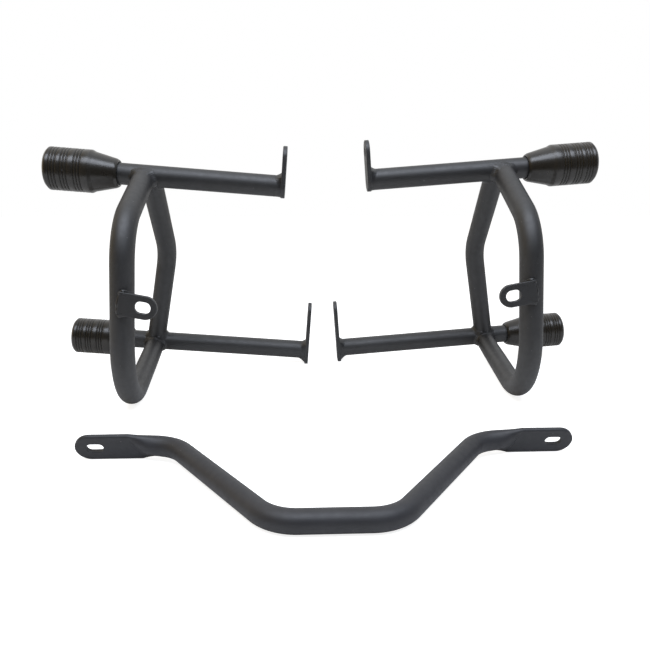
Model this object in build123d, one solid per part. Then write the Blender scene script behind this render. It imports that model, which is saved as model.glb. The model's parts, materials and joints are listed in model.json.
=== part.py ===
from build123d import *
import math
import os

# Steel tube of both guards, and how far its lateral runs fall per mm towards the inner end
tube_d = 25.4
tube_wall = 2.0
tube_fall = 0.077
cope_lead = 2.0

# Lateral tubes of one guard: x runs inward, y backward, z up from the floor
left_upper_z = 265.5
right_upper_z = 273.5
upper_inner_x = 158.5
upper_mouth_x = -32.0
lower_z = 33.5
lower_y = 125.0
lower_inner_x = 187.0
lower_mouth_x = -62.0

# Front loop: leaves the upper tube forward, a little below its axis, drops down the front and runs back
# to the lower tube, again a little below its axis
loop_top_x = -3.7
loop_top_drop = 2.3
loop_shoulder = (-0.6, -118.9, 211.3)
loop_toe_x = -13.3
loop_toe_y = -120.7
loop_toe_drop = 9.92
loop_foot_x = -30.7
loop_foot_drop = 5.0
loop_top_bend = 58.0
loop_toe_bend = 82.0

# Rear brace between the two lateral tubes
brace_top_x = 4.0
brace_elbow = (0.5, 93.5, 167.5)
brace_foot_x = -29.5
brace_bend = 76.0

# Mounting plates welded across the inner tube ends
plate_t = 5.0
plate_w = 28.0
plate_hole_d = 11.0
upper_plate_rise = 33.0
lower_plate_rise = 56.5
lower_plate_corner = 5.0

# Slotted tab on the front of the loop's leg, measured from the upper tube and the leg's axis
tab_below_upper = 130.0
tab_w = 24.5
tab_t = 5.0
tab_reach = 27.5
tab_tilt = 11.0
tab_seat = 0.6
tab_slot_w = 12.0
tab_slot_l = 16.5
tab_slot_reach = 25.0

# Slider pucks: turned bodies, lengths measured outward from the mouth
puck_d = 50.0
puck_len = 82.0
puck_socket_gap = 0.8
puck_socket_depth = 32.0
puck_lip = 2.0
puck_nose_flare = 1.7
puck_nose_len = 3.0
puck_cone_d = 46.0
puck_cone_len = 27.0
puck_shoulder_len = 31.0
puck_end_chamfer = 3.0
groove_places = (43.0, 58.0, 71.0)
groove_w = 1.6
groove_depth = 0.8

# Puck fixing: M10 socket bolt and washer into a threaded plug in the tube's end
bolt_d = 10.0
bolt_hole_gap = 0.6
bolt_head_d = 16.0
bolt_head_h = 10.0
bolt_sunk = 2.0
bolt_grip = 22.0
bolt_hex = 8.0
bolt_hex_depth = 5.0
washer_d = 20.0
washer_t = 2.0
recess_gap = 1.0
plug_len = 24.0

# Cross bar: one bent tube, its ends pressed flat and slotted; the end run is straight after the last bend
bar_d = 19.05
bar_wall = 2.0
bar_bend = 38.0
bar_half_mid = 47.0
bar_half_up = 144.0
bar_depth = 135.0
bar_end_run = 1.0
bar_press_len = 15.0
bar_flat_len = 55.7
flat_h = 28.8
flat_t = 4.5
flat_tilt = 20.0
bar_slot_inset = 18.5
bar_slot_w = 9.0
bar_slot_l = 16.0

# Places on the floor
guard_half_gap = 213.1
left_guard_y = 99.0
right_guard_y = 110.0
bar_x = -8.4
bar_y = -250.0

tube_r = tube_d / 2
bore_r = tube_r - tube_wall
inward = Vector(1, 0, -tube_fall).normalized()
outward = inward * -1
backward = Vector(0, 1, 0)
from_base = (Align.CENTER, Align.CENTER, Align.MIN)
from_top = (Align.CENTER, Align.CENTER, Align.MAX)


def rod(start, end, radius):
    """Straight round rod between two points."""
    return Plane(origin=start, z_dir=end - start) * Cylinder(radius, (end - start).length, align=from_base)


def bent_path(corners, bends):
    """Wire of straight runs between corners, each inner corner turned to its own bend radius."""
    start = corners[0]
    edges = []
    for corner, following, bend in zip(corners[1:], corners[2:], bends):
        back = (start - corner).normalized()
        ahead = (following - corner).normalized()
        half = math.radians(back.get_angle(ahead)) / 2
        first = corner + back * (bend / math.tan(half))
        middle = corner + (back + ahead).normalized() * (bend / math.sin(half) - bend)
        last = corner + ahead * (bend / math.tan(half))
        edges += [Line(start, first), ThreePointArc(first, middle, last)]
        start = last
    return Wire(edges + [Line(start, corners[-1])])


def swept(path, radius):
    """Round bar along a path."""
    return sweep(Plane(origin=path @ 0, z_dir=path % 0) * Circle(radius), path=path)


def led(start, towards):
    """Start of a branch tube, moved off the main tube's axis by the cope lead."""
    return start + (towards - start).normalized() * cope_lead


# Slider puck, turned about z with its mouth at zero
socket_r = tube_r + puck_socket_gap
mouth_r = socket_r + puck_lip
puck_r = puck_d / 2
bolt_hole_r = bolt_d / 2 + bolt_hole_gap / 2
recess_r = washer_d / 2 + recess_gap / 2
seat_z = puck_len - bolt_sunk - bolt_head_h - washer_t
profile = [
    (socket_r, 0),
    (mouth_r, 0),
    (mouth_r + puck_nose_flare, puck_nose_len),
    (puck_cone_d / 2, puck_cone_len),
    (puck_r, puck_shoulder_len),
]
for place in groove_places:
    profile.append((puck_r, place - groove_w / 2))
    profile.append((puck_r - groove_depth, place))
    profile.append((puck_r, place + groove_w / 2))
profile += [
    (puck_r, puck_len - puck_end_chamfer),
    (puck_r - puck_end_chamfer, puck_len),
    (recess_r, puck_len),
    (recess_r, seat_z),
    (bolt_hole_r, seat_z),
    (bolt_hole_r, puck_socket_depth),
    (socket_r, puck_socket_depth),
]
puck = revolve(make_face(Polyline([(r, 0, z) for r, z in profile], close=True)), Axis.Z)

# Puck fixing on the same axis
washer = Cylinder(washer_d / 2, washer_t, align=from_base) - Cylinder(bolt_hole_r, washer_t, align=from_base)
washer = Pos(0, 0, seat_z) * washer
head_z = seat_z + washer_t
bolt_len = head_z - puck_socket_depth + bolt_grip
bolt = Cylinder(bolt_head_d / 2, bolt_head_h, align=from_base) + Cylinder(bolt_d / 2, bolt_len, align=from_top)
hexagon = RegularPolygon(bolt_hex / 2, 6, major_radius=False)
bolt -= Pos(0, 0, bolt_head_h - bolt_hex_depth) * extrude(hexagon, bolt_hex_depth)
bolt = Pos(0, 0, head_z) * bolt
plug = Cylinder(bore_r, plug_len, align=from_top) - Cylinder(bolt_d / 2, plug_len, align=from_top)
plug = Pos(0, 0, puck_socket_depth) * plug

# Upper plate: its lower end follows the tube, the hole sits in its rounded top
upper_face = Pos(0, upper_plate_rise / 2) * SlotCenterToCenter(upper_plate_rise, plate_w, rotation=90)
upper_face -= Pos(0, upper_plate_rise) * Circle(plate_hole_d / 2)

# Lower plate: longer, its square foot reaches down to the floor
lower_end_z = lower_z - tube_fall * lower_inner_x
foot_drop = (lower_end_z + inward.Z * plate_t) / inward.X
lower_face = Pos(0, (lower_plate_rise - foot_drop) / 2) * Rectangle(plate_w, lower_plate_rise + foot_drop)
lower_face = fillet(lower_face.vertices().sort_by(Axis.Y)[:2], lower_plate_corner)
lower_face += Pos(0, lower_plate_rise) * Circle(plate_w / 2)
lower_face -= Pos(0, lower_plate_rise) * Circle(plate_hole_d / 2)

# Tab outline, drawn inward from the leg's axis to its rounded end
tab_face = Pos(tab_reach / 2, 0) * Rectangle(tab_reach, tab_w)
tab_face += Pos(tab_reach, 0) * Circle(tab_w / 2)
tab_face -= Pos(tab_slot_reach, 0) * SlotOverall(tab_slot_l, tab_slot_w)


def guard(upper_z):
    """Pieces of the left guard with its upper tube at the given height."""
    pieces = {}
    ends = {}
    cores = {}
    lines = {
        "upper": (Vector(0, 0, upper_z), upper_mouth_x, upper_inner_x, upper_face),
        "lower": (Vector(0, lower_y, lower_z), lower_mouth_x, lower_inner_x, lower_face),
    }
    for level, (base, mouth_x, inner_x, face) in lines.items():
        mouth = base + inward * (mouth_x / inward.X)
        inner = base + inward * (inner_x / inward.X)
        outer = mouth + outward * puck_socket_depth
        cores[level] = rod(outer, inner, tube_r)
        ends[level] = base
        pieces[level + "_tube"] = cores[level] - rod(outer, inner, bore_r)
        pieces[level + "_plate"] = Plane(origin=inner, x_dir=backward, z_dir=inward) * extrude(face, plate_t)
        axis = Plane(origin=mouth, x_dir=backward, z_dir=outward)
        pieces[level + "_puck"] = axis * puck
        pieces[level + "_puck_washer"] = axis * washer
        pieces[level + "_puck_bolt"] = axis * bolt
        pieces[level + "_tube_plug"] = axis * plug

    # Front loop, its ends coped to the lateral tubes
    loop_top = ends["upper"] + inward * (loop_top_x / inward.X) - Vector(0, 0, loop_top_drop)
    loop_foot = ends["lower"] + inward * (loop_foot_x / inward.X) - Vector(0, 0, loop_foot_drop)
    shoulder = Vector(*loop_shoulder)
    toe = Vector(loop_toe_x, loop_toe_y, tube_r - loop_toe_drop)
    corners = [led(loop_top, shoulder), shoulder, toe, led(loop_foot, toe)]
    path = bent_path(corners, [loop_top_bend, loop_toe_bend])
    loop_core = swept(path, tube_r)
    pieces["front_loop"] = loop_core - swept(path, bore_r) - cores["upper"] - cores["lower"]

    # Rear brace, coped to the lateral tubes and to the loop's ends
    brace_top = ends["upper"] + inward * (brace_top_x / inward.X)
    brace_foot = ends["lower"] + inward * (brace_foot_x / inward.X)
    elbow = Vector(*brace_elbow)
    path = bent_path([led(brace_top, elbow), elbow, led(brace_foot, elbow)], [brace_bend])
    brace = swept(path, tube_r) - swept(path, bore_r)
    pieces["rear_brace"] = brace - cores["upper"] - cores["lower"] - loop_core

    # Tab lying on the front of the loop's leg
    leg = (toe - shoulder).normalized()
    leg_front = leg.cross(inward).normalized()
    leg_point = shoulder + leg * ((upper_z - tab_below_upper - shoulder.Z) / leg.Z)
    seat = Plane(origin=leg_point + leg_front * (tube_r - tab_seat), x_dir=(1, 0, 0), z_dir=leg_front)
    pieces["crossbar_tab"] = seat * (Rot(0, 0, -tab_tilt) * extrude(tab_face, tab_t)) - loop_core
    return pieces


# Cross bar, built flat with its middle run on the x axis; it leans until its ends meet the floor too
bar_r = bar_d / 2
bar_turn = math.atan2(bar_depth, bar_half_up - bar_half_mid)
bar_round_x = bar_half_up + bar_bend * math.tan(bar_turn / 2) + bar_end_run
bar_flat_x = bar_round_x + bar_press_len
bar_end_x = bar_flat_x + bar_flat_len
right_half = [Vector(bar_half_mid, 0), Vector(bar_half_up, bar_depth), Vector(bar_round_x, bar_depth)]
left_half = [Vector(-corner.X, corner.Y) for corner in reversed(right_half)]
bar_path = bent_path(left_half + right_half, [bar_bend] * 4)
end_height = (flat_h - flat_t) / 2 * math.cos(math.radians(flat_tilt)) + flat_t / 2
bar_lean = math.degrees(math.asin((end_height - bar_r) / bar_depth))
flat_turn = math.radians(flat_tilt - bar_lean)
flat_up = Vector(0, -math.sin(flat_turn), math.cos(flat_turn))


def end_plane(x):
    """Plane across the bar's right end, its x axis up along the flat."""
    return Plane(origin=(x, bar_depth, 0), x_dir=flat_up, z_dir=(1, 0, 0))


flat_section = SlotOverall(flat_h, flat_t)
pressing = loft([end_plane(bar_round_x) * Circle(bar_r), end_plane(bar_flat_x) * flat_section], ruled=True)
flat = end_plane(bar_flat_x) * extrude(flat_section, bar_flat_len)
end_centre = bar_end_x - flat_h / 2
outline = Pos(end_centre / 2, 0) * Rectangle(end_centre, flat_h) + Pos(end_centre, 0) * Circle(flat_h / 2)
outline -= Pos(bar_end_x - bar_slot_inset, 0) * SlotOverall(bar_slot_l, bar_slot_w)
front = Plane(origin=(0, bar_depth, 0), x_dir=(1, 0, 0), z_dir=Vector(1, 0, 0).cross(flat_up))
flat = flat & front * extrude(outline, flat_t, both=True)
cross_bar = swept(bar_path, bar_r) - swept(bar_path, bar_r - bar_wall)
for piece in (pressing, flat):
    cross_bar += piece
    cross_bar += mirror(piece, about=Plane.YZ)
cross_bar = Pos(bar_x, bar_y, bar_r) * Rot(bar_lean, 0, 0) * cross_bar

# Both guards stand on the floor behind the cross bar
os.makedirs("parts", exist_ok=True)
for name, piece in guard(left_upper_z).items():
    export_step(Pos(-guard_half_gap, left_guard_y, 0) * piece, "parts/left_" + name + ".step")
for name, piece in guard(right_upper_z).items():
    piece = Pos(guard_half_gap, right_guard_y, 0) * mirror(piece, about=Plane.YZ)
    export_step(piece, "parts/right_" + name + ".step")
export_step(cross_bar, "parts/cross_bar.step")
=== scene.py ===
import json
import math

import bpy
import numpy as np
from mathutils import Matrix

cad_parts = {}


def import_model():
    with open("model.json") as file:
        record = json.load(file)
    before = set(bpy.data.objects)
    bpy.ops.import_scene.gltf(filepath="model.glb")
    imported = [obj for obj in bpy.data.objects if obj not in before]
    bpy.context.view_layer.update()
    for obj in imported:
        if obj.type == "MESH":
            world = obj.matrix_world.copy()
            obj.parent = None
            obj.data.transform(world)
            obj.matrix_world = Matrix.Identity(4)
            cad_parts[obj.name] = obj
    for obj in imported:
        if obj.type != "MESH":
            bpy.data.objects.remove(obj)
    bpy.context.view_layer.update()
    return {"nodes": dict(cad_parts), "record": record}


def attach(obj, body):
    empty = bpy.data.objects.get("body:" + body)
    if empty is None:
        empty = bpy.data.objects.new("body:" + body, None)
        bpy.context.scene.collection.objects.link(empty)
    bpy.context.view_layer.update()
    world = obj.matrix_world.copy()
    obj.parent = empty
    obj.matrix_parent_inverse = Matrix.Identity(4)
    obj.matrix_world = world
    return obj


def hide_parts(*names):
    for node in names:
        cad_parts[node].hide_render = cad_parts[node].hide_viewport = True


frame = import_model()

SIDES = ("left", "right")
LEVELS = ("upper", "lower")
NODES = frame["nodes"]
NEAR_ZERO = 1e-6

# Sizes in metres; a guard's own frame has x inward, y backward and z up from the floor
TUBE_R = 0.0127
TUBE_FALL = 0.077
UPPER_Z = {"left": 0.2655, "right": 0.2735}
LOWER_Z = 0.0335
LOWER_Y = 0.125
INNER_X = {"upper": 0.1585, "lower": 0.187}
MOUTH_X = {"upper": -0.032, "lower": -0.062}
GUARD_X = 0.2131
GUARD_Y = {"left": 0.099, "right": 0.110}
LOOP_TOP_X = -0.0037
LOOP_TOP_DROP = 0.0023
LOOP_SHOULDER = np.array([-0.0006, -0.1189, 0.2113])
LOOP_TOE = np.array([-0.0133, -0.1207, 0.00278])
LOOP_FOOT_X = -0.0307
LOOP_FOOT_DROP = 0.005
BRACE_TOP_X = 0.004
BRACE_ELBOW = np.array([0.0005, 0.0935, 0.1675])
BRACE_FOOT_X = -0.0295

# Mounting plates and tabs
PLATE_T = 0.005
PLATE_W = 0.028
PLATE_HOLE_R = 0.0055
PLATE_RISE = {"upper": 0.033, "lower": 0.0565}
LOWER_PLATE_CORNER = 0.005
TAB_BELOW_UPPER = 0.130
TAB_W = 0.0245
TAB_T = 0.005
TAB_REACH = 0.0275
TAB_TILT = math.radians(11)
TAB_SEAT = 0.0006
TAB_SLOT_REACH = 0.025
TAB_SLOT_W = 0.012
TAB_SLOT_L = 0.0165
TAB_CORNER = 0.001
TAB_WEAR_START = 0.3

# Rounded edges of plates: radius, two places of the ramp in edge radii, share of the fold at the second
EDGE_R = 0.0007
EDGE_RAMP = (2.2, 1.48)
EDGE_RAMP_LIFT = 0.3
EDGE_STEPS = 6

# Points round or along each kind of mesh
ARC_POINTS = 25
OUTLINE_POINTS = 180
END_POINTS = 240
PUCK_POINTS = 96
SEAM_POINTS = 288
SEAM_ROWS = 13
COLLAR_POINTS = 192
COLLAR_ROWS = 9
TAB_BEAD_POINTS = 161
TAB_BEAD_ROUND = 16
BAR_RINGS = 320
BAR_POINTS = 144

# Welds: leg of a fillet, crown over a seam, depth of its feet under the surface, how hollow it is and how
# much of that a fill takes away. Waves are counts per turn, sizes and starts
WELD_LEG = 0.0036
WELD_LEG_WAVES = ((5, 0.08, 0.4), (9, 0.06, 1.3))
WELD_CROWN = 0.0003
WELD_CROWN_WAVES = ((4, 0.3, 2.0), (48, 0.35, 0.0))
WELD_SINK = 0.0008
WELD_HOLLOW = 0.5
WELD_FILL = 0.3
# Least cosine between the two tubes' outward directions that a bead is shaped for
WELD_COSINE = -0.5

# Collars on the plates; under a lower tube the foot, a place, size and width, is longer and rises further
COLLAR_LEG = 0.0066
COLLAR_WAVES = ((3, 0.10, 0.5), (7, 0.06, 2.1), (44, 0.03, 0.0))
COLLAR_RISE = 0.55
COLLAR_CURVE = 0.8
COLLAR_SINK = 0.0002
COLLAR_FOOT = (1.5 * math.pi, 1.0, 0.7)
COLLAR_FOOT_LEG = 0.2
COLLAR_FOOT_RISE = 0.3

# Bead round a tab: its radius, waves and lump, its way along and past the tab, and how it lies on the leg
TAB_BEAD_R = 0.0019
TAB_BEAD_WAVES = ((3, 0.0003, 0.5), (5, 0.00025, 1.9), (9, 0.0001, 0.7))
TAB_BEAD_LUMP = (0.72, 0.0008, 0.1)
TAB_BEAD_REACH = 0.0095
TAB_BEAD_OUTSIDE = 0.0006
TAB_BEAD_MARGIN = 0.0004
TAB_BEAD_FRONT = 0.0012
TAB_BEAD_FOLLOW = 0.45

# Puck sizes, lengths measured outward from the mouth
PUCK_R = 0.025
PUCK_LEN = 0.082
PUCK_SOCKET_R = 0.0135
PUCK_SOCKET_DEPTH = 0.032
PUCK_RECESS_R = 0.0105
PUCK_SEAT = 0.068
PUCK_BOLT_R = 0.0053
PUCK_MOUTH_R = 0.0155
# Radius and length where the nose and the cone end
PUCK_NOSE = (0.0172, 0.003)
PUCK_CONE = (0.023, 0.027)
PUCK_SHOULDER = 0.031
PUCK_CHAMFER = 0.003
PUCK_EASE = 0.0005
GROOVE_GROUPS = (0.043, 0.058, 0.071)
GROOVE_PITCH = 0.0034
GROOVE_HALF_W = 0.0009
GROOVE_DEPTH = 0.0014

# Cross bar: a bent tube whose ends are pressed flat and slotted
BAR_R = 0.009525
BAR_BEND = 0.038
BAR_HALF_MID = 0.047
BAR_HALF_UP = 0.144
BAR_DEPTH = 0.135
BAR_END_RUN = 0.001
BAR_PRESS_LEN = 0.015
BAR_FLAT_LEN = 0.0557
FLAT_H = 0.0288
FLAT_T = 0.0045
FLAT_TILT = math.radians(20)
FLAT_FOLD = 0.0004
CREASE_SLANT = 0.4
PRESS_BLEND = 0.036
PRESS_BLEND_SKEW = 0.9
PRESS_WALL = 0.022
PRESS_WALL_SKEW = -0.5
PRESS_ZONE = 0.06
BAR_SLOT_INSET = 0.0185
BAR_SLOT_W = 0.009
BAR_SLOT_L = 0.016
# Distances before the slot's centre where the tube stops and where, inside it, the slotted end starts
TUBE_STOP = 0.0145
END_START = 0.0225
END_CORNER = 0.007
END_SLACK = 0.00005
# Share of the rings that lies on the plain tube
PLAIN_RINGS = 0.25
BAR_PLACE = np.array([-0.0084, -0.250, BAR_R])
END_HEIGHT = (FLAT_H - FLAT_T) / 2 * math.cos(FLAT_TILT) + FLAT_T / 2
BAR_LEAN = math.asin((END_HEIGHT - BAR_R) / BAR_DEPTH)

# Fills of the welds, as shares of the leg, and blobs: angle round the branch tube, size and width
LOOP_BEAD = (
    [(0.24 * math.pi, 0.5, 0.3), (1.8 * math.pi, 0.3, 0.25)],
    [(0.55 * math.pi, 0.0013, 0.35)],
)
LOOP_FOOT_BEAD = (
    [(0.0, 0.9, 0.7), (2 * math.pi, 0.9, 0.7)],
    [(0.55 * math.pi, 0.0013, 0.35)],
)
BRACE_TOP_BEAD = (
    [(math.pi, 0.3, 0.5)],
    [(0.5 * math.pi, 0.0008, 0.2), (0.95 * math.pi, 0.0006, 0.12)],
)
BRACE_FOOT_BEAD = (
    [(math.pi, 1.3, 0.7)],
    [(0.8 * math.pi, 0.0010, 0.12), (math.pi, 0.0008, 0.1), (1.15 * math.pi, 0.0009, 0.1)],
)

# Colours: dust specks, rubbed edges, and the dark and light of each finish
DUST = (0.08, 0.08, 0.084, 1)
RUBBED = (0.045, 0.046, 0.048, 1)
COAT_COLOURS = ((0.0080, 0.0081, 0.0086), (0.0130, 0.0132, 0.0140))
BAR_COLOURS = ((0.0098, 0.0102, 0.0138), (0.0146, 0.0151, 0.0194))
PUCK_COLOURS = ((0.0192, 0.0162, 0.0118), (0.0244, 0.0206, 0.0154))
STEEL_COLOURS = ((0.33, 0.33, 0.34), (0.42, 0.42, 0.43))

# Stops of the coats' noises: colour, dust specks, patches of wear, roughness
CLOUD_STOPS = (0.35, 0.65)
SPECKS = [(0.85, 0.0), (0.88, 1.0)]
PATCHES = [(0.3, 0.3), (0.7, 1.0)]
ROUGH_STOPS = (0.3, 0.7)
GRAIN_DEPTH = 0.0002

# Floor: front and outer edges, colour, brightness added for the camera and the share that reflections get
FLOOR_FRONT = -0.42
FLOOR_OUT = 6
FLOOR_COLOUR = (0.72, 0.72, 0.72, 1)
FLOOR_LIFT = 0.85
FLOOR_SHARE = 0.12

# Surround over height, front to back and left to right, and where it is white in reflections
SKY_HEIGHTS = [(0.0, (0.33, 0.34, 0.36)), (0.35, (0.30, 0.31, 0.33)), (1.0, (0.37, 0.39, 0.42))]
SKY_DEPTH = [(0.0, 0.06), (0.5, 0.9), (1.0, 2.2)]
SKY_TINTS = [(0.0, (1.7, 1.15, 0.4)), (0.5, (1.0, 1.0, 1.0))]
SKY_WHITE = [(0.55, 0.0), (0.85, 1.0)]

# Lights: place, target, width, height, power and colour
KEY_LIGHT = ((0.0, -0.80, 1.75), (0.0, 0.0, 0.15), 2.2, 0.85, 33, (0.86, 0.92, 1.04))
OVERHEAD_LIGHT = ((0.0, 0.1, 1.6), (0.0, 0.1, 0.0), 1.3, 1.3, 2.5, (0.9, 0.95, 1.02))

# Camera fitted to the photograph, its turns in radians
FOCAL_PIXELS = 620
FRAME_PIXELS = 650
SENSOR = 36.0
CAMERA_PLACE = (-0.0336, -0.66585, 0.2452)
CAMERA_DOWN = 0.2094
CAMERA_RIGHT = 0.0416

INWARD = np.array([1.0, 0.0, -TUBE_FALL]) / math.hypot(1, TUBE_FALL)
UPWARD = np.array([TUBE_FALL, 0.0, 1.0]) / math.hypot(1, TUBE_FALL)
BACKWARD = np.array([0.0, 1.0, 0.0])


def unit(v):
    """Vector or rows of vectors divided by their own lengths."""
    return v / np.linalg.norm(v, axis=-1, keepdims=True)


def placed(points, side):
    """Guard frame points moved to their guard, the right one mirrored in x."""
    turn = 1 if side == "left" else -1
    return points * np.array([turn, 1, 1]) + np.array([-turn * GUARD_X, GUARD_Y[side], 0])


def on_tube(level, side, x):
    """Point of a lateral tube's axis: its base height less the fall times x."""
    z = UPPER_Z[side] if level == "upper" else LOWER_Z
    y = 0.0 if level == "upper" else LOWER_Y
    return np.array([x, y, z - TUBE_FALL * x])


def grid_piece(name, points, slot, coat, around=True, closed=False, flip=False, edge=None):
    """Quad surface through a rows by columns array of points.

    Row i, column j is joined to row i+1 and column j+1. Columns join round if around is set, rows if closed
    is. The UV map counts rows and columns from 0 to 1, and edge tells how worn each point's edge is.
    """
    rows, cols = points.shape[:2]
    row_spans = rows if closed else rows - 1
    col_spans = cols if around else cols - 1
    i, j = np.meshgrid(np.arange(row_spans), np.arange(col_spans), indexing="ij")
    below = (i + 1) % rows
    after = (j + 1) % cols
    quads = np.stack([i * cols + j, i * cols + after, below * cols + after, below * cols + j], -1)
    corner_u = np.stack([i, i, i + 1, i + 1], -1) / row_spans
    corner_v = np.stack([j, j + 1, j + 1, j], -1) / col_spans
    uv = np.stack([corner_u, corner_v], -1)
    if flip:
        quads = quads[..., ::-1]
        uv = uv[:, :, ::-1]
    mesh = bpy.data.meshes.new(name)
    mesh.from_pydata(points.reshape(-1, 3), [], quads.reshape(-1, 4))
    mesh.uv_layers.new(name="UVMap").data.foreach_set("uv", uv.astype(np.float32).ravel())
    mesh.polygons.foreach_set("use_smooth", np.ones(len(mesh.polygons), bool))
    if edge is not None:
        worn = mesh.attributes.new("edge", "FLOAT", "POINT")
        worn.data.foreach_set("value", np.broadcast_to(edge, (rows, cols)).astype(np.float32).ravel())
    mesh.materials.append(coat)
    mesh.update()
    piece = bpy.data.objects.new(name, mesh)
    bpy.context.scene.collection.objects.link(piece)
    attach(piece, "root")
    return piece


def guard_piece(name, points, side, slot, coat, **form):
    """Quad surface of guard frame points, placed on its side and turned the right way out."""
    return grid_piece(name, placed(points, side), slot, coat, flip=side == "right", **form)


def eased_corners(corners, setback):
    """Closed outline with each corner replaced by a quadratic curve that starts one setback before it.

    The setback shrinks to a third of the shorter side; the curve is (1-t)^2 a + 2t(1-t) corner + t^2 b.
    """
    before = np.roll(corners, 1, axis=0) - corners
    ahead = np.roll(corners, -1, axis=0) - corners
    short = np.minimum(np.linalg.norm(before, axis=1), np.linalg.norm(ahead, axis=1))
    cut = np.minimum(setback, short / 3)[:, None]
    a = (corners + unit(before) * cut)[:, None]
    b = (corners + unit(ahead) * cut)[:, None]
    t = np.array([0.0, 0.5, 1.0])[None, :, None]
    curve = (1 - t) ** 2 * a + 2 * t * (1 - t) * corners[:, None] + t ** 2 * b
    return curve.reshape(-1, corners.shape[1])


def puck_profile():
    """Radius and length of the turned puck: socket, nose, cone, grooved barrel, chamfer and bolt recess."""
    start = [(PUCK_SOCKET_R, 0.0), (PUCK_MOUTH_R, 0.0), PUCK_NOSE, PUCK_CONE, (PUCK_R, PUCK_SHOULDER)]
    grooves = np.add.outer(np.array(GROOVE_GROUPS), np.array([-1, 0, 1]) * GROOVE_PITCH).ravel()
    places = np.add.outer(grooves, np.array([-1, 0, 1]) * GROOVE_HALF_W)
    depths = PUCK_R - np.array([0, 1, 0]) * GROOVE_DEPTH + 0 * places
    ribs = np.stack([depths, places], -1).reshape(-1, 2)
    end = [
        (PUCK_R, PUCK_LEN - PUCK_CHAMFER),
        (PUCK_R - PUCK_CHAMFER, PUCK_LEN),
        (PUCK_RECESS_R, PUCK_LEN),
        (PUCK_RECESS_R, PUCK_SEAT),
        (PUCK_BOLT_R, PUCK_SEAT),
        (PUCK_BOLT_R, PUCK_SOCKET_DEPTH),
        (PUCK_SOCKET_R, PUCK_SOCKET_DEPTH),
    ]
    return np.concatenate([np.array(start), ribs, np.array(end)])


def puck(side, level):
    """Turned puck: the profile (r, l) goes to mouth - l inward + r (cos a backward + sin a upward)."""
    outline = eased_corners(puck_profile(), PUCK_EASE)
    angle = np.linspace(0, 2 * math.pi, PUCK_POINTS, endpoint=False)
    ring = np.cos(angle)[:, None] * BACKWARD + np.sin(angle)[:, None] * UPWARD
    mouth = on_tube(level, side, MOUTH_X[level])
    points = mouth - outline[:, 1, None, None] * INWARD + outline[:, 0, None, None] * ring
    name = f"{side}_{level}_puck_turned"
    piece = guard_piece(name, points, side, "puck", puck_plastic, closed=True)
    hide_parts(f"{side}_{level}_puck")


def rounded_outline(corners, radii, count):
    """Evenly spaced points round a convex polygon whose corners are turned to their own radii.

    Each corner's arc has its centre r / sin(half angle) along the bisector and runs between the two points
    at r / tan(half angle) from the corner.
    """
    corners = np.array(corners, float)
    radii = np.array(radii, float)[:, None]
    back = unit(np.roll(corners, 1, axis=0) - corners)
    ahead = unit(np.roll(corners, -1, axis=0) - corners)
    half = np.arccos(np.sum(back * ahead, axis=1, keepdims=True)) / 2
    centre = corners + unit(back + ahead) * radii / np.sin(half)
    first = corners + back * radii / np.tan(half) - centre
    last = corners + ahead * radii / np.tan(half) - centre
    t = np.linspace(0, 1, ARC_POINTS)[None, :, None]
    sweep = (math.pi - 2 * half)[:, None]
    arcs = np.sin((1 - t) * sweep) * first[:, None] + np.sin(t * sweep) * last[:, None]
    line = (centre[:, None] + arcs / np.sin(sweep)).reshape(-1, 2)
    line = np.concatenate([line, line[:1]])
    run = np.concatenate([[0.0], np.cumsum(np.linalg.norm(np.diff(line, axis=0), axis=1))])
    even = np.linspace(0, run[-1], count, endpoint=False)
    return np.stack([np.interp(even, run, line[:, 0]), np.interp(even, run, line[:, 1])], -1)


def slot_outline(outline, centre, half_run, radius):
    """Points of a slot, or of a round hole for no run, in the same directions from its centre as an outline.

    At angle a the slot is r / |sin a| away along its straight sides, and c |cos a| + sqrt(r^2 - c^2 sin^2 a)
    round its ends.
    """
    ray = unit(outline - np.array(centre))
    straight = radius / np.maximum(np.abs(ray[:, 1]), NEAR_ZERO)
    round_end = half_run * np.abs(ray[:, 0])
    round_end += np.sqrt(np.maximum(radius ** 2 - (half_run * ray[:, 1]) ** 2, 0))
    away = np.where(straight * np.abs(ray[:, 0]) <= half_run, straight, round_end)
    return np.array(centre) + ray * away[:, None]


def rim(radius, fold):
    """Rounded edge of a plate, face to middle: distances in from the outline and down from the face.

    A quarter circle, its top lifted by the fold, follows a short ramp from the face.
    """
    turn = np.linspace(0, math.pi / 2, EDGE_STEPS)
    ramp_in = [radius * place for place in EDGE_RAMP]
    ramp_down = [0 * fold, -EDGE_RAMP_LIFT * fold]
    inset = np.concatenate(ramp_in + [radius * (1 - np.sin(turn))], -1)
    drop = np.concatenate(ramp_down + [radius * (1 - np.cos(turn)) - fold * np.cos(turn)], -1)
    return inset, drop


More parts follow.
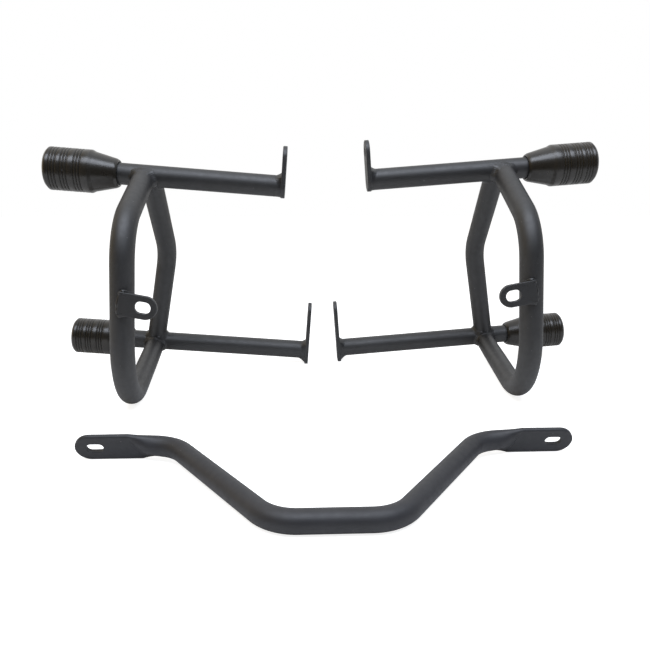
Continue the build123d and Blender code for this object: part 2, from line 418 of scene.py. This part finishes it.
def pierced_plate(outline, hole, thickness, pose, edge_r=EDGE_R, fold=0.0):
    """Plate with a hole and rounded edges, as a closed profile carried round the hole, and its worn edges.

    The profile runs up the hole's wall, out over the front face, down the outer edge and back over the rear
    face. Edge radius and fold may differ along the outline. The pose holds the origin and the plate's own x,
    y and thickness directions.
    """
    ones = np.ones((len(outline), 1))
    inner_in, inner_drop = rim(EDGE_R * ones, 0 * ones)
    outer_in, outer_drop = rim(edge_r * ones, fold * ones)
    ray = unit(outline - hole)[:, None]
    tangent = unit(np.roll(outline, -1, axis=0) - np.roll(outline, 1, axis=0))
    normal = np.stack([tangent[:, 1], -tangent[:, 0]], -1)[:, None]
    at_hole = hole[:, None] + ray * np.concatenate([inner_in, inner_in[:, ::-1]], 1)[..., None]
    at_edge = outline[:, None] - normal * np.concatenate([outer_in, outer_in[:, ::-1]], 1)[..., None]
    flat = np.concatenate([at_hole, at_edge], axis=1)
    down_hole = np.concatenate([inner_drop, thickness - inner_drop[:, ::-1]], 1)
    down_edge = np.concatenate([outer_drop, thickness - outer_drop[:, ::-1]], 1)
    depth = np.concatenate([down_hole, down_edge[:, ::-1]], 1)
    worn = np.concatenate([np.zeros(len(EDGE_RAMP)), np.sin(np.linspace(0, math.pi, EDGE_STEPS))])
    worn = np.tile(np.concatenate([worn, worn[::-1]]), 2)
    origin, along, across, out = pose
    points = origin + flat[..., :1] * along + flat[..., 1:] * across + depth[..., None] * out
    return points, worn


def mounting_plate(side, level):
    """Plate across a tube's inner end, with its bolt hole in the rounded top."""
    half = PLATE_W / 2
    rise = PLATE_RISE[level]
    inner = on_tube(level, side, INNER_X[level])
    foot = half if level == "upper" else (inner[2] + INWARD[2] * PLATE_T) / INWARD[0]
    corner = half if level == "upper" else LOWER_PLATE_CORNER
    corners = [(-half, -foot), (half, -foot), (half, rise + half), (-half, rise + half)]
    outline = rounded_outline(corners, [corner, corner, half, half], OUTLINE_POINTS)
    hole = slot_outline(outline, (0.0, rise), 0.0, PLATE_HOLE_R)
    points, worn = pierced_plate(outline, hole, PLATE_T, (inner, BACKWARD, UPWARD, INWARD))
    name = f"{side}_{level}_plate_eased"
    piece = guard_piece(name, points, side, "plate_coat", plate_coat, closed=True, edge=worn)
    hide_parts(f"{side}_{level}_plate")


def tab_pose(side):
    """Origin of the tab on the front of the loop's leg, and its along, up and front directions."""
    leg = LOOP_TOE - LOOP_SHOULDER
    drop = (UPPER_Z[side] - TAB_BELOW_UPPER - LOOP_SHOULDER[2]) / leg[2]
    front = unit(np.cross(leg, INWARD))
    along = np.array([math.cos(TAB_TILT), 0.0, -math.sin(TAB_TILT)])
    return LOOP_SHOULDER + leg * drop + front * (TUBE_R - TAB_SEAT), along, np.cross(front, along), front


def tab(side):
    """Slotted tab with a rounded inner end; its edges are worn towards that end, away from the weld."""
    half = TAB_W / 2
    end = TAB_REACH + half
    corners = [(0, -half), (end, -half), (end, half), (0, half)]
    outline = rounded_outline(corners, [TAB_CORNER, half, half, TAB_CORNER], OUTLINE_POINTS)
    hole = slot_outline(outline, (TAB_SLOT_REACH, 0.0), (TAB_SLOT_L - TAB_SLOT_W) / 2, TAB_SLOT_W / 2)
    points, worn = pierced_plate(outline, hole, TAB_T, tab_pose(side))
    worn = worn * np.clip(outline[:, :1] / TAB_REACH - TAB_WEAR_START, 0, 1)
    name = f"{side}_tab_eased"
    piece = guard_piece(name, points, side, "plate_coat", plate_coat, closed=True, edge=worn)
    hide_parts(f"{side}_crossbar_tab")


def wobble(angle, waves):
    """Sum of sines: each wave gives its count per turn, size and start."""
    return sum(size * np.sin(count * angle + start) for count, size, start in waves)


def swells(angle, bumps):
    """Sum of bell curves: each bump gives its angle, size and width."""
    return sum(size * np.exp(-((angle - where) / width) ** 2) for where, size, width in bumps)


def seam(start, branch, axis_point, axis):
    """Line where a branch tube meets a main tube of its own radius, both outward normals and the gap.

    From each point of the ring round the branch, the line along it is followed to the furthest place that
    is one radius from the main axis, by the quadratic formula. Where the ring passes beside the main tube
    the nearest place is taken, and the gap is what is left between the two tubes there.
    """
    angle = np.linspace(0, 2 * math.pi, SEAM_POINTS, endpoint=False)
    side = unit(np.cross(branch, axis))
    normal = np.cos(angle)[:, None] * side + np.sin(angle)[:, None] * np.cross(side, branch)
    ring = start + TUBE_R * normal
    apart = ring - axis_point
    apart = apart - (apart @ axis)[:, None] * axis
    slope = branch - (branch @ axis) * axis
    a = slope @ slope
    b = apart @ slope
    c = np.sum(apart * apart, axis=1) - TUBE_R ** 2
    reach = (np.sqrt(np.maximum(b * b - a * c, 0)) - b) / a
    away = apart + reach[:, None] * slope
    gap = np.linalg.norm(away, axis=1) - TUBE_R
    return angle, ring + reach[:, None] * branch, normal, unit(away), gap


def saddle_weld(name, side, start, towards, level, fills, blobs):
    """Weld bead along the seam of a branch tube on a lateral tube.

    Across the seam s runs from -1 on the main tube to 1 on the branch. The height over the seam is leg
    tan(half corner) (1 - hollow + hollow s^2) + crown (1 - s^2) - sink s^4, and a gap under the main tube is
    closed by pulling the bead's main side to it. The leg grows and fills out at the fills, the crown swells
    to blobs, and ripples and slower waves run along the bead.
    """
    branch = unit(towards - start)
    angle, line, on_branch, on_main, gap = seam(start, branch, on_tube(level, side, 0.0), INWARD)
    along = unit(np.roll(line, -1, axis=0) - np.roll(line, 1, axis=0))
    rise = unit(on_branch + on_main)
    rise = unit(rise - np.sum(rise * along, axis=1, keepdims=True) * along)
    across = np.cross(along, rise)
    half_corner = np.arccos(np.clip(np.sum(on_branch * on_main, axis=1), WELD_COSINE, 1)) / 2
    s = np.linspace(-1, 1, SEAM_ROWS)[None]
    filled = swells(angle, fills)
    leg = WELD_LEG * (1 + filled + wobble(angle, WELD_LEG_WAVES))[:, None]
    crown = WELD_CROWN * (1 + wobble(angle, WELD_CROWN_WAVES)) + swells(angle, blobs)
    hollow = (WELD_HOLLOW - WELD_FILL * np.minimum(filled, 1))[:, None]
    height = leg * np.tan(half_corner)[:, None] * (1 - hollow + hollow * s ** 2)
    height += crown[:, None] * (1 - s ** 2) - WELD_SINK * s ** 4
    points = line[:, None] + (leg * s)[..., None] * across[:, None] + height[..., None] * rise[:, None]
    points -= (gap[:, None] * ((1 - s) / 2) ** 2)[..., None] * on_main[:, None]
    guard_piece(name, points, side, "tube_coat", weld_coat, around=False, closed=True)


def plate_collar(side, level):
    """Fillet weld round a tube's end: a quadratic curve from the tube to the plate, slightly hollow.

    Its reach on the plate stops inside the plate's outline, which stands close to the tube at the sides.
    Under a lower tube it is fuller and runs down to the plate's foot.
    """
    angle = np.linspace(0, 2 * math.pi, COLLAR_POINTS, endpoint=False)
    ring = np.cos(angle)[:, None] * BACKWARD + np.sin(angle)[:, None] * UPWARD
    half = PLATE_W / 2
    side_room = half / np.maximum(np.abs(np.cos(angle)), NEAR_ZERO)
    inner = on_tube(level, side, INNER_X[level])
    below = np.sin(angle) < 0
    foot_room = (inner[2] + INWARD[2] * PLATE_T) / np.maximum(-np.sin(angle), NEAR_ZERO)
    room = np.where(below, half, side_room) if level == "upper" else np.minimum(side_room, foot_room)
    full = swells(angle, [COLLAR_FOOT]) if level == "lower" else 0 * angle
    leg = COLLAR_LEG * (1 + COLLAR_FOOT_LEG * full + wobble(angle, COLLAR_WAVES))
    reach = np.minimum((COLLAR_RISE + COLLAR_FOOT_RISE * full) * leg, room - TUBE_R - EDGE_R)
    v = np.linspace(0, 1, COLLAR_ROWS)[:, None]
    radius = TUBE_R - COLLAR_SINK + reach * (COLLAR_CURVE * v * (1 - v) + v ** 2)
    length = leg * ((1 - v) ** 2 + COLLAR_CURVE * v * (1 - v))
    points = inner - length[..., None] * INWARD + radius[..., None] * ring
    guard_piece(f"{side}_{level}_plate_weld", points, side, "tube_coat", weld_coat)


def tab_weld(side):
    """Lumpy bead round the tab's welded end, a circle of uneven radius along a rounded U.

    For t from -1 to 1 the U lies at reach |t|^3 along the tab and half width sign(t) (1 - (1 - |t|)^3)
    across it, and follows the leg's round front part of the way. The radius goes with sqrt(1 - t^8), so that
    both ends close.
    """
    origin, along, up, front = tab_pose(side)
    t = np.linspace(-1, 1, TAB_BEAD_POINTS)
    inward = TAB_BEAD_REACH * np.abs(t) ** 3 - TAB_BEAD_OUTSIDE
    across = (TAB_W / 2 + TAB_BEAD_MARGIN) * np.sign(t) * (1 - (1 - np.abs(t)) ** 3)
    flat = inward[:, None] * along - across[:, None] * up
    sunk = TUBE_R - np.sqrt(np.maximum(TUBE_R ** 2 - flat[:, 0] ** 2, 0))
    line = origin + flat + (TAB_BEAD_FRONT - TAB_BEAD_FOLLOW * sunk)[:, None] * front
    tangent = unit(np.gradient(line, axis=0))
    out = unit(front - (tangent @ front)[:, None] * tangent)
    girth = TAB_BEAD_R + wobble(math.pi * t, TAB_BEAD_WAVES) + swells(np.abs(t), [TAB_BEAD_LUMP])
    girth = girth * np.sqrt(np.maximum(1 - t ** 8, 0))
    angle = np.linspace(0, 2 * math.pi, TAB_BEAD_ROUND, endpoint=False)[None, :, None]
    ring = np.cos(angle) * out[:, None] + np.sin(angle) * np.cross(tangent, out)[:, None]
    points = line[:, None] + girth[:, None, None] * ring
    guard_piece(f"{side}_tab_weld", points, side, "plate_coat", weld_coat)


def bar_runs():
    """Lengths along the right half of the cross bar: both bends' starts and ends, then flat and end."""
    turn = math.atan2(BAR_DEPTH, BAR_HALF_UP - BAR_HALF_MID)
    tangent = BAR_BEND * math.tan(turn / 2)
    arc = BAR_BEND * turn
    slope = math.hypot(BAR_DEPTH, BAR_HALF_UP - BAR_HALF_MID) - 2 * tangent
    runs = np.cumsum([BAR_HALF_MID - tangent, arc, slope, arc])
    flat = runs[-1] + BAR_END_RUN + BAR_PRESS_LEN
    return turn, runs, flat, flat + BAR_FLAT_LEN


def on_floor(points):
    """Cross bar points leant back until its flat ends reach the floor, and moved to their place."""
    y = points[..., 1] * math.cos(BAR_LEAN) - points[..., 2] * math.sin(BAR_LEAN)
    z = points[..., 1] * math.sin(BAR_LEAN) + points[..., 2] * math.cos(BAR_LEAN)
    return np.stack([points[..., 0], y, z], -1) + BAR_PLACE


def flat_section(share):
    """Pressed end's section at shares of its way round: heights and depths of a slot with folded edges."""
    inset, drop = rim(np.array([FLAT_T / 2]), np.array([FLAT_FOLD]))
    up = FLAT_H / 2 - inset[::-1]
    out = FLAT_T / 2 - drop[::-1]
    up = np.concatenate([up, -up[::-1], -up, up[::-1]])
    out = np.concatenate([out, out[::-1], -out, -out[::-1]])
    run = np.concatenate([[0.0], np.cumsum(np.hypot(np.diff(up), np.diff(out)))])
    return np.interp(share * run[-1], run, up), np.interp(share * run[-1], run, out)


def cross_bar():
    """Bent tube of the cross bar, round in the middle and pressed flat towards its ends.

    The axis is found by adding up steps along its heading, which is straight between bends and turns evenly
    in them. The section is (1 - w) circle + w flat with w = (1 - d / blend)^2, where d is the distance short
    of a crease that slants across the flat. Heights blend over a longer run than thicknesses do. Most rings
    lie in the pressed zone.
    """
    turn, runs, flat, end = bar_runs()
    stops = [0.0, flat - PRESS_ZONE, end - BAR_SLOT_INSET - TUBE_STOP]
    half = np.interp(np.linspace(0, 1, BAR_RINGS), [0.0, PLAIN_RINGS, 1.0], stops)
    heading = np.interp(half, runs, [0.0, turn, turn, 0.0])
    middle = np.interp((half[1:] + half[:-1]) / 2, runs, [0.0, turn, turn, 0.0])
    step = np.diff(half)[:, None] * np.stack([np.cos(middle), np.sin(middle)], -1)
    axis = np.concatenate([np.zeros((1, 2)), np.cumsum(step, axis=0)])
    share = np.linspace(0, 1, BAR_POINTS, endpoint=False)
    flat_up, flat_out = flat_section(share)
    short = flat + CREASE_SLANT * flat_up[None] - half[:, None]
    blend = PRESS_BLEND + PRESS_BLEND_SKEW * flat_up[None]
    tall = np.where(short < 0, 1.0, np.clip(1 - short / blend, 0, 1) ** 2)
    wall = PRESS_WALL + PRESS_WALL_SKEW * flat_up[None]
    thin = np.where(short < 0, 1.0, np.clip(1 - short / wall, 0, 1) ** 2)
    up = (1 - tall) * BAR_R * np.cos(2 * math.pi * share) + tall * flat_up
    out = (1 - thin) * BAR_R * np.sin(2 * math.pi * share) + thin * flat_out
    lean = FLAT_TILT - BAR_LEAN
    side = np.stack([-np.sin(heading), np.cos(heading)], -1)[:, None]
    level = axis[:, None] - (math.sin(lean) * up + math.cos(lean) * out)[..., None] * side
    height = math.cos(lean) * up - math.sin(lean) * out
    right = np.concatenate([level, height[..., None]], -1)
    left = right[:0:-1] * np.array([-1, 1, 1])
    points = on_floor(np.concatenate([left, right]))
    piece = grid_piece("cross_bar_pressed", points, "bar_coat", bar_coat, flip=True)
    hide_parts("cross_bar")


def bar_end(side):
    """Slotted round end of the cross bar, a hair thinner than the tube it runs into.

    Its folded edges die out round the tip, where the tube was cut: radius and fold go with the square of
    the outline normal's upward part.
    """
    turn = bar_runs()[0]
    tip = BAR_HALF_UP + BAR_BEND * math.tan(turn / 2) + BAR_END_RUN + BAR_PRESS_LEN + BAR_FLAT_LEN
    start = tip - BAR_SLOT_INSET - END_START
    half = FLAT_H / 2 - END_SLACK
    corners = [(start, -half), (tip, -half), (tip, half), (start, half)]
    outline = rounded_outline(corners, [END_CORNER, half, half, END_CORNER], END_POINTS)
    hole = slot_outline(outline, (tip - BAR_SLOT_INSET, 0.0), (BAR_SLOT_L - BAR_SLOT_W) / 2, BAR_SLOT_W / 2)
    tangent = unit(np.roll(outline, -1, axis=0) - np.roll(outline, 1, axis=0))
    folded = tangent[:, :1] ** 2
    thick = FLAT_T - 2 * END_SLACK
    edge_r = EDGE_R + (thick / 2 - EDGE_R) * folded
    lean = FLAT_TILT - BAR_LEAN
    across = np.array([0.0, -math.sin(lean), math.cos(lean)])
    out = np.array([0.0, -math.cos(lean), -math.sin(lean)])
    pose = (np.array([0.0, BAR_DEPTH, 0.0]) - out * thick / 2, np.array([1.0, 0.0, 0.0]), across, out)
    points, worn = pierced_plate(outline, hole, thick, pose, edge_r, FLAT_FOLD * folded)
    mirrored = side == "left"
    points = on_floor(points * np.array([-1 if mirrored else 1, 1, 1]))
    name = f"{side}_bar_end_slotted"
    grid_piece(name, points, "bar_coat", bar_coat, closed=True, flip=mirrored, edge=worn * (1 - folded))


def shader(name):
    """New node material: its node tree, Principled shader and Object coordinates."""
    material = bpy.data.materials.new(name)
    material.use_nodes = True
    tree = material.node_tree
    place = tree.nodes.new("ShaderNodeTexCoord").outputs["Object"]
    return material, tree, tree.nodes["Principled BSDF"], place


def noise(tree, where, scale, detail):
    """Noise value over a coordinate."""
    node = tree.nodes.new("ShaderNodeTexNoise")
    node.inputs["Scale"].default_value = scale
    node.inputs["Detail"].default_value = detail
    tree.links.new(where, node.inputs["Vector"])
    return node.outputs["Fac"]


def ramp(tree, value, stops):
    """Colour ramp over a value; stops are (place, grey or colour)."""
    node = tree.nodes.new("ShaderNodeValToRGB")
    elements = node.color_ramp.elements
    for place, _ in stops[2:]:
        elements.new(place)
    for element, (place, colour) in zip(elements, stops):
        element.position = place
        element.color = (*colour, 1) if isinstance(colour, tuple) else (colour, colour, colour, 1)
    tree.links.new(value, node.inputs["Fac"])
    return node.outputs["Color"]


def mixed(tree, blend, first, second):
    """Mix node's result for two colours; the second may be a constant."""
    node = tree.nodes.new("ShaderNodeMix")
    node.data_type = "RGBA"
    node.blend_type = blend
    node.inputs["Factor"].default_value = 1.0
    tree.links.new(first, node.inputs["A"])
    if isinstance(second, tuple):
        node.inputs["B"].default_value = second
    else:
        tree.links.new(second, node.inputs["B"])
    return node.outputs["Result"]


def half_and_half(tree, value):
    """Value from -1 to 1 brought to 0 to 1."""
    node = tree.nodes.new("ShaderNodeMath")
    node.operation = "MULTIPLY_ADD"
    node.inputs[1].default_value = 0.5
    node.inputs[2].default_value = 0.5
    tree.links.new(value, node.inputs[0])
    return node.outputs[0]


def bump(tree, height, strength, distance):
    """Bump normal from a height value."""
    node = tree.nodes.new("ShaderNodeBump")
    node.inputs["Strength"].default_value = strength
    node.inputs["Distance"].default_value = distance
    tree.links.new(height, node.inputs["Height"])
    return node.outputs["Normal"]


def combined(tree, operation, first, second):
    """Math node's result for two values; the second may be a constant."""
    node = tree.nodes.new("ShaderNodeMath")
    node.operation = operation
    tree.links.new(first, node.inputs[0])
    if isinstance(second, float):
        node.inputs[1].default_value = second
    else:
        tree.links.new(second, node.inputs[1])
    return node.outputs[0]


def background_rays(tree, share):
    """One for the camera's rays, and a share for rays that the object mirrors or lets through."""
    rays = tree.nodes.new("ShaderNodeLightPath").outputs
    passed_on = combined(tree, "ADD", rays["Is Glossy Ray"], rays["Is Transmission Ray"])
    return combined(tree, "ADD", rays["Is Camera Ray"], combined(tree, "MULTIPLY", passed_on, share))


def powder_coat(name, dark, light, rough, gloss, grain=0.25):
    """Fine powder coat: cloudy colour with rare dust specks, uneven gloss, a grain and rubbed edges."""
    material, tree, surface, place = shader(name)
    cloud = ramp(tree, noise(tree, place, scale=28, detail=4), list(zip(CLOUD_STOPS, (dark, light))))
    dust = mixed(tree, "MIX", cloud, DUST)
    specks = ramp(tree, noise(tree, place, scale=420, detail=0), SPECKS)
    tree.links.new(specks, dust.node.inputs["Factor"])
    worn = tree.nodes.new("ShaderNodeAttribute")
    worn.attribute_name = "edge"
    patches = ramp(tree, noise(tree, place, scale=60, detail=3), PATCHES)
    patchy = mixed(tree, "MULTIPLY", worn.outputs["Color"], patches)
    rubbed = mixed(tree, "MIX", dust, RUBBED)
    tree.links.new(patchy, rubbed.node.inputs["Factor"])
    tree.links.new(rubbed, surface.inputs["Base Color"])
    uneven = ramp(tree, noise(tree, place, scale=160, detail=3), list(zip(ROUGH_STOPS, rough)))
    tree.links.new(uneven, surface.inputs["Roughness"])
    grains = noise(tree, place, scale=1400, detail=2)
    tree.links.new(bump(tree, grains, grain, GRAIN_DEPTH), surface.inputs["Normal"])
    surface.inputs["Specular IOR Level"].default_value = gloss
    return material


def floor():
    """Pale floor, white to the camera where no shadow falls; reflections get a share of that lift."""
    mesh = bpy.data.meshes.new("floor")
    front = [(-FLOOR_OUT, FLOOR_FRONT, 0), (FLOOR_OUT, FLOOR_FRONT, 0)]
    back = [(FLOOR_OUT, FLOOR_OUT, 0), (-FLOOR_OUT, FLOOR_OUT, 0)]
    mesh.from_pydata(front + back, [], [(0, 1, 2, 3)])
    piece = bpy.data.objects.new("floor", mesh)
    bpy.context.scene.collection.objects.link(piece)
    material = bpy.data.materials.new("pale floor")
    material.use_nodes = True
    tree = material.node_tree
    tree.nodes.remove(tree.nodes["Principled BSDF"])
    matte = tree.nodes.new("ShaderNodeBsdfDiffuse")
    matte.inputs["Color"].default_value = FLOOR_COLOUR
    glow = tree.nodes.new("ShaderNodeEmission")
    both = tree.nodes.new("ShaderNodeAddShader")
    lift = combined(tree, "MULTIPLY", background_rays(tree, FLOOR_SHARE), FLOOR_LIFT)
    tree.links.new(lift, glow.inputs["Strength"])
    tree.links.new(matte.outputs[0], both.inputs[0])
    tree.links.new(glow.outputs[0], both.inputs[1])
    tree.links.new(both.outputs[0], tree.nodes["Material Output"].inputs["Surface"])
    mesh.materials.append(material)


def softbox(name, place, target, width, height, power, colour):
    """Rectangular area light that faces a target."""
    light = bpy.data.lights.new(name, "AREA")
    light.shape = "RECTANGLE"
    light.size = width
    light.size_y = height
    light.energy = power
    light.color = colour
    lamp = bpy.data.objects.new(name, light)
    bpy.context.scene.collection.objects.link(lamp)
    away = unit(np.array(place) - np.array(target))
    right = unit(np.cross([0.0, 1.0, 1e-4], away))
    pose = np.eye(4)
    pose[:3, :3] = np.stack([right, np.cross(away, right), away], -1)
    pose[:3, 3] = place
    lamp.matrix_world = Matrix(pose.tolist())


def world():
    """Studio surround: brighter overhead and behind, dim in front, warmer on the left.

    The camera sees it as white, and so do the reflections of what lies behind the object.
    """
    surround = bpy.data.worlds.new("studio")
    surround.use_nodes = True
    tree = surround.node_tree
    split = tree.nodes.new("ShaderNodeSeparateXYZ")
    tree.links.new(tree.nodes.new("ShaderNodeTexCoord").outputs["Generated"], split.inputs[0])
    rise = ramp(tree, split.outputs["Z"], SKY_HEIGHTS)
    depth = ramp(tree, half_and_half(tree, split.outputs["Y"]), SKY_DEPTH)
    warmth = ramp(tree, half_and_half(tree, split.outputs["X"]), SKY_TINTS)
    behind = ramp(tree, half_and_half(tree, split.outputs["Y"]), SKY_WHITE)
    tinted = mixed(tree, "MULTIPLY", mixed(tree, "MULTIPLY", rise, depth), warmth)
    seen = mixed(tree, "MIX", tinted, (1, 1, 1, 1))
    tree.links.new(background_rays(tree, behind), seen.node.inputs["Factor"])
    tree.links.new(seen, tree.nodes["Background"].inputs["Color"])
    bpy.context.scene.world = surround


def camera():
    """Camera of the photograph, its focal length given in pixels of the frame."""
    lens = bpy.data.cameras.new("camera")
    lens.sensor_width = SENSOR
    lens.lens = SENSOR * FOCAL_PIXELS / FRAME_PIXELS
    viewer = bpy.data.objects.new("camera", lens)
    bpy.context.scene.collection.objects.link(viewer)
    viewer.location = CAMERA_PLACE
    viewer.rotation_euler = (math.pi / 2 - CAMERA_DOWN, 0, -CAMERA_RIGHT)
    bpy.context.scene.camera = viewer


tube_coat = powder_coat("tube powder coat", *COAT_COLOURS, rough=(0.51, 0.59), gloss=0.98)
plate_coat = powder_coat("plate powder coat", *COAT_COLOURS, rough=(0.51, 0.59), gloss=0.98)
weld_coat = powder_coat("weld powder coat", *COAT_COLOURS, rough=(0.36, 0.48), gloss=0.85, grain=0.4)
bar_coat = powder_coat("cross bar powder coat", *BAR_COLOURS, rough=(0.53, 0.61), gloss=0.8)
puck_plastic = powder_coat(
    "turned puck plastic", *PUCK_COLOURS, rough=(0.27, 0.31), gloss=0.65, grain=0.004
)
bolt_steel = powder_coat("bolt steel", *STEEL_COLOURS, rough=(0.30, 0.42), gloss=0.5)
bolt_steel.node_tree.nodes["Principled BSDF"].inputs["Metallic"].default_value = 1.0

finishes = {
    "tube_coat": tube_coat,
    "plate_coat": plate_coat,
    "bar_coat": bar_coat,
    "puck": puck_plastic,
    "fastener": bolt_steel,
}
for entry in frame["record"]["subparts"]:
    node_mesh = NODES[entry["node"]].data
    node_mesh.materials.clear()
    node_mesh.materials.append(finishes[entry["material_slot"]])

cross_bar()
for side in SIDES:
    bar_end(side)
    for level in LEVELS:
        puck(side, level)
        mounting_plate(side, level)
        plate_collar(side, level)
    tab(side)
    tab_weld(side)
    loop_top = on_tube("upper", side, LOOP_TOP_X) - np.array([0.0, 0.0, LOOP_TOP_DROP])
    loop_foot = on_tube("lower", side, LOOP_FOOT_X) - np.array([0.0, 0.0, LOOP_FOOT_DROP])
    brace_top = on_tube("upper", side, BRACE_TOP_X)
    brace_foot = on_tube("lower", side, BRACE_FOOT_X)
    saddle_weld(f"{side}_loop_top_weld", side, loop_top, LOOP_SHOULDER, "upper", *LOOP_BEAD)
    saddle_weld(f"{side}_loop_foot_weld", side, loop_foot, LOOP_TOE, "lower", *LOOP_FOOT_BEAD)
    saddle_weld(f"{side}_brace_top_weld", side, brace_top, BRACE_ELBOW, "upper", *BRACE_TOP_BEAD)
    saddle_weld(f"{side}_brace_foot_weld", side, brace_foot, BRACE_ELBOW, "lower", *BRACE_FOOT_BEAD)

floor()
world()
camera()
softbox("key softbox", *KEY_LIGHT)
softbox("overhead softbox", *OVERHEAD_LIGHT)
bpy.context.scene.view_settings.view_transform = "Standard"
